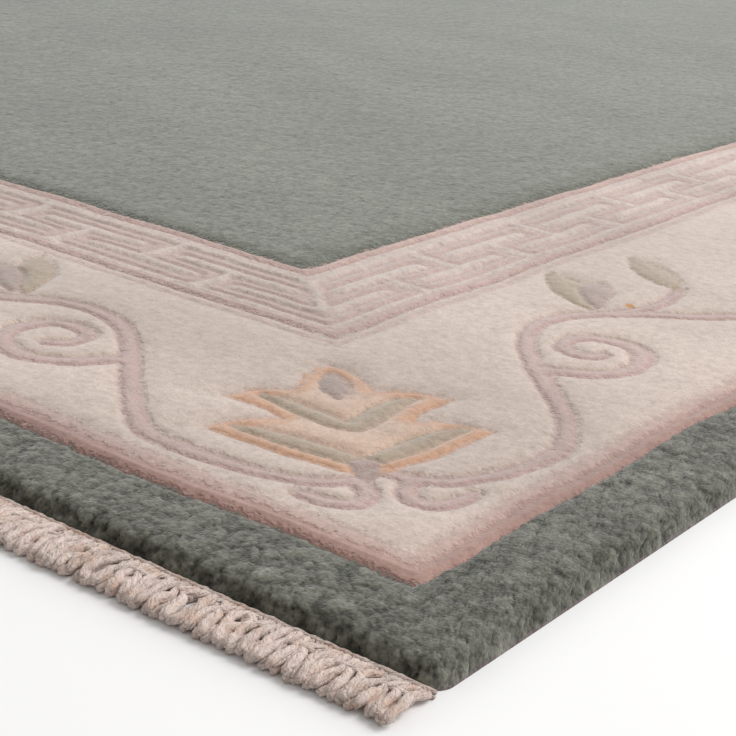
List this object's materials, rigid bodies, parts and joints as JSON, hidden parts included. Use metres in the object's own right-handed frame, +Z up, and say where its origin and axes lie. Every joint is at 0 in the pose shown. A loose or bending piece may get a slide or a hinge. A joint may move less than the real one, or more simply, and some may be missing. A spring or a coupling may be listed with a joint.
{
  "type": "chinese rug",
  "caption": "Flat rectangular carved wool rug with a plain sage field, a key fret guard, a flowered cream border, a dark edge band and knotted cotton fringe ends.",
  "frame": {"origin": "on the floor, under the middle of the rug", "axes": "+X across the rug, +Y along its length from the front fringe to the back fringe, +Z up out of the pile"},
  "size_m": [1.7, 2.4626, 0.011],
  "materials": {
    "wool_pile": "cut and carved wool pile, matt",
    "cotton_fringe": "twisted cotton yarn, matt"
  },
  "bodies": {
    "root": {"pile_rug": "wool_pile", "fringe_front": "cotton_fringe", "fringe_back": "cotton_fringe"}
  },
  "joints": []
}
